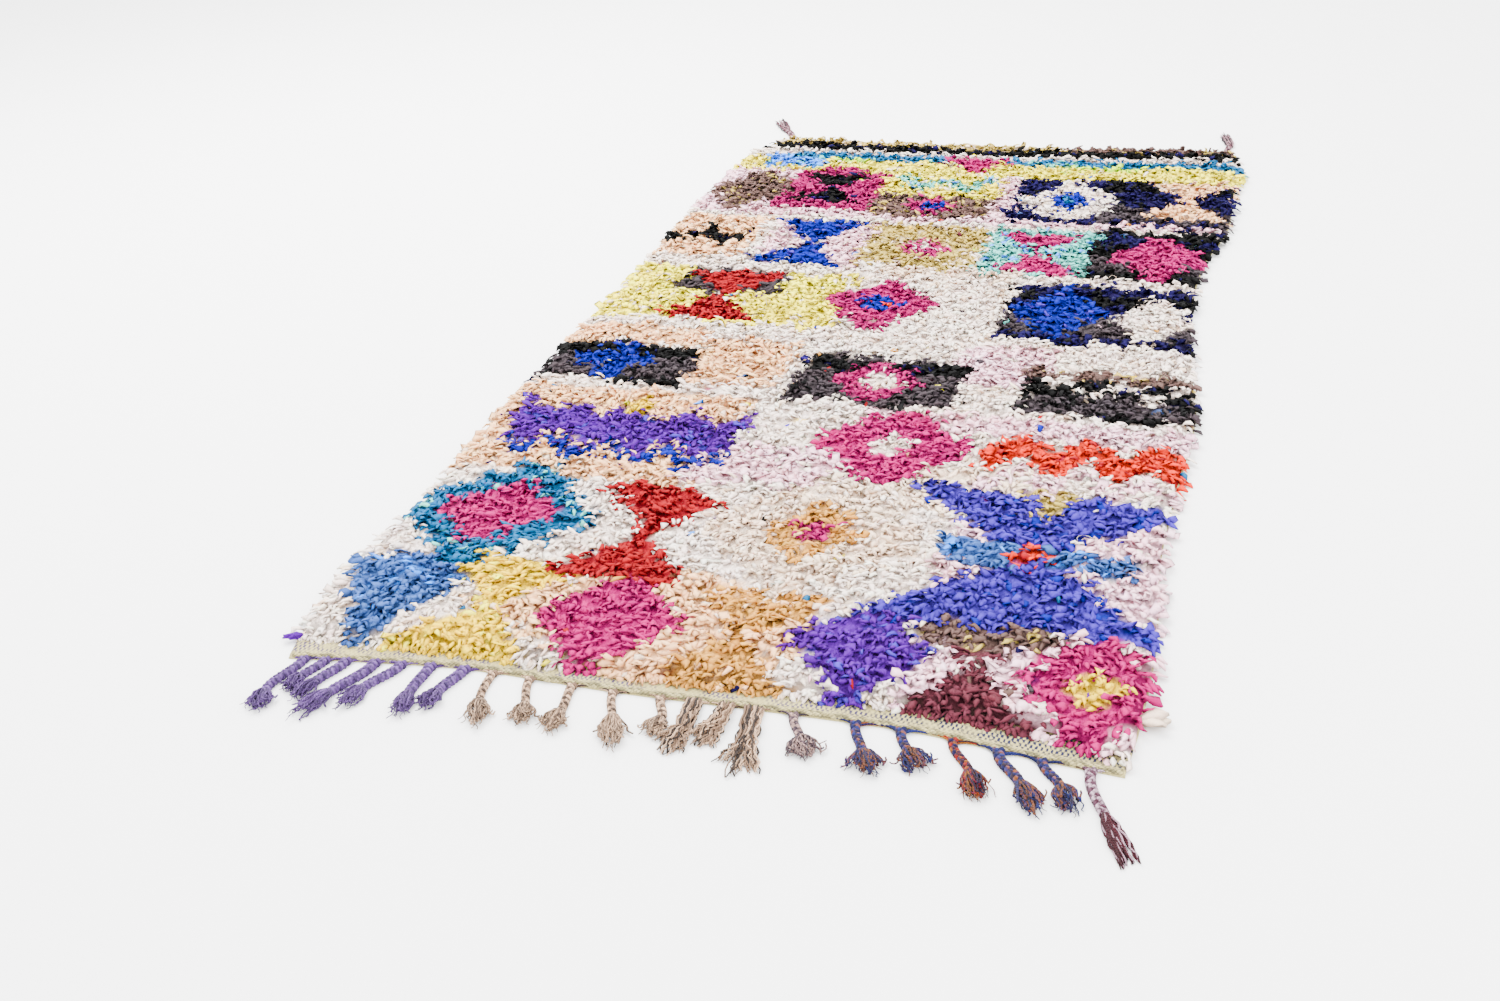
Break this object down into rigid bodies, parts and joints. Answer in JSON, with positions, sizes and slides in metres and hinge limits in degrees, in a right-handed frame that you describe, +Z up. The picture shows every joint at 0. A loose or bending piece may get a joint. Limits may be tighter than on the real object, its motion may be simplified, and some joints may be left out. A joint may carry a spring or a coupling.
{
  "type": "boucherouite rug",
  "caption": "Long shaggy rag rug lying flat: a lumpy knotted pile of coloured strips on a woven ground, with a flat woven band and knotted plaits at one end.",
  "frame": {"origin": "on the floor, under the middle of the rug's whole extent, plaits included", "axes": "+Z up from the floor; +Y along the rug's length, away from the plaited end; +X across it"},
  "size_m": [1.3804, 3.0702, 0.0296],
  "materials": {
    "ground": "plain woven wool, matte, cream to olive",
    "rag": "knotted cotton and wool rag strips in many colours, matte",
    "violet": "plaited violet yarn, matte",
    "beige": "plaited beige yarn, matte",
    "lilac": "pinkish grey yarn, matte",
    "blue": "plaited blue mixed yarn, matte",
    "orange": "plaited orange and red mixed yarn, matte",
    "burgundy": "plaited burgundy and white yarn, matte"
  },
  "bodies": {
    "root": {"ground_weave": "ground", "rag_pile": "rag", "plait_01": "violet", "plait_02": "violet", "plait_03": "violet", "plait_04": "violet", "plait_05": "violet", "plait_06": "violet", "plait_07": "violet", "plait_08": "beige", "plait_09": "beige", "plait_10": "beige", "plait_11": "beige", "plait_12": "beige", "plait_13": "beige", "plait_14": "beige", "plait_15": "beige", "plait_16": "lilac", "plait_17": "blue", "plait_18": "blue", "plait_19": "orange", "plait_20": "blue", "plait_21": "blue", "plait_22": "burgundy", "far_bundle_left": "lilac", "far_bundle_right": "lilac", "heading_cord": "lilac"}
  },
  "joints": []
}
